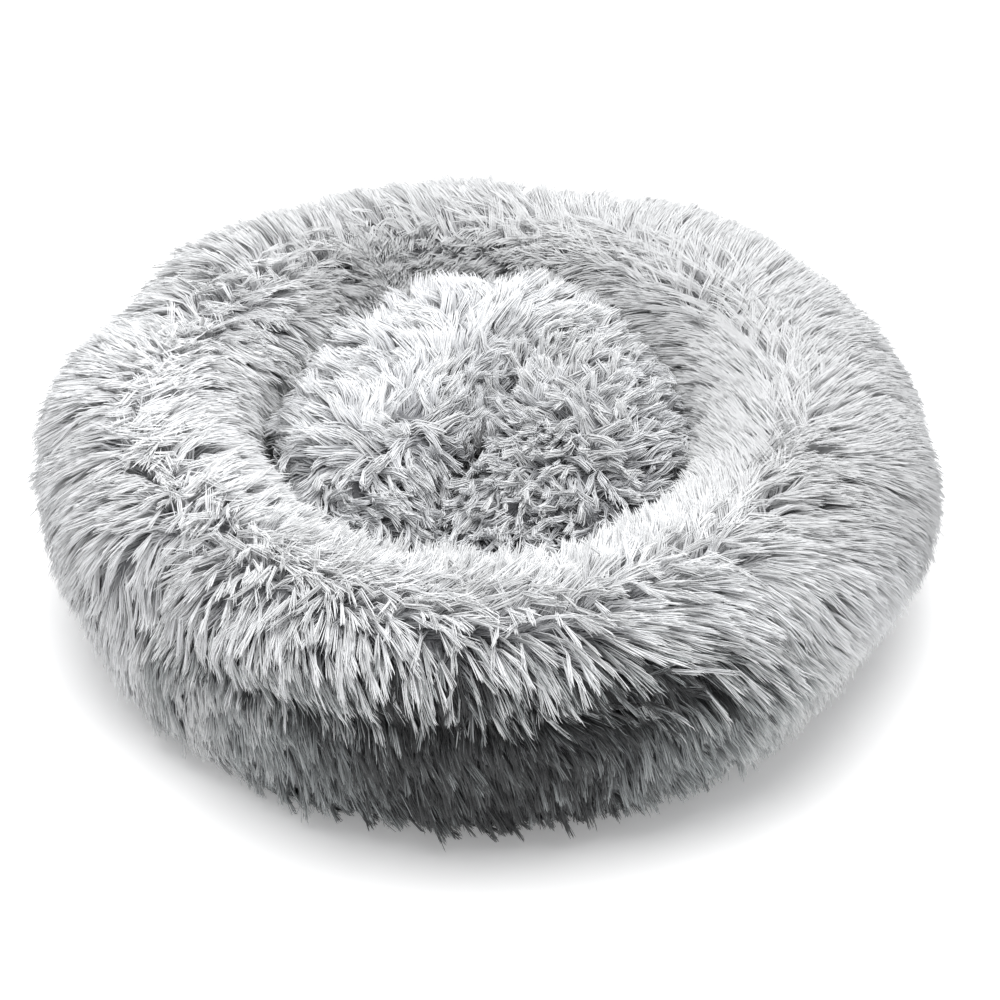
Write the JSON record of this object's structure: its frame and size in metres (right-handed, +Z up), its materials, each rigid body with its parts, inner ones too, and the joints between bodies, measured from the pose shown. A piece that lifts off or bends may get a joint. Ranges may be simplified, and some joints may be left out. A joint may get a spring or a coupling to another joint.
{
  "type": "pet cushion bed",
  "caption": "Round long-pile faux-fur pet bed: stuffed ring bolster round a domed centre cushion, on a zipped non-slip base.",
  "frame": {"origin": "on the floor under the middle of the bed", "axes": "+Z up, +X along the zip towards its closed end, -Y to the front of the bed"},
  "size_m": [0.61, 0.61, 0.1717],
  "materials": {
    "ring_fur": "long-pile faux fur, pale silver grey with white tips",
    "centre_fur": "shorter clumped faux fur, pale silver grey",
    "liner": "spun-bonded non-woven",
    "fibre_fill": "loose polyester fibre",
    "base_cloth": "coated plain weave with non-slip dots",
    "binding": "woven tape",
    "zip_tape": "herringbone zip tape",
    "zip_teeth": "moulded acetal",
    "zip_metal": "tumbled zinc alloy",
    "label": "blank satin ribbon"
  },
  "bodies": {
    "root": {"fur_ring_cover": "ring_fur", "ring_liner": "liner", "ring_fill": "fibre_fill", "fur_centre_cover": "centre_fur", "centre_liner": "liner", "centre_fill": "fibre_fill", "centre_seam_tape": "binding", "base_panel_front": "base_cloth", "base_panel_rear": "base_cloth", "base_edge_binding": "binding", "care_label": "label", "zip_tape_front": "zip_tape", "zip_tape_rear": "zip_tape", "zip_teeth_front": "zip_teeth", "zip_teeth_rear": "zip_teeth", "zip_top_stop_front": "zip_metal", "zip_top_stop_rear": "zip_metal", "zip_bottom_stop": "zip_metal"},
    "zip_slider": {"zip_slider": "zip_metal"},
    "zip_pull": {"zip_pull_tab": "zip_metal"}
  },
  "joints": [
    {"name": "zip_slide", "type": "slide", "parent": "root", "child": "zip_slider", "axis": [1, 0, 0], "range_m": [-0.312, 0]},
    {"name": "pull_flip", "type": "hinge", "parent": "zip_slider", "child": "zip_pull", "pos_m": [0.157, 0, 0.0071], "axis": [0, -1, 0], "range_deg": [0, 180]}
  ]
}
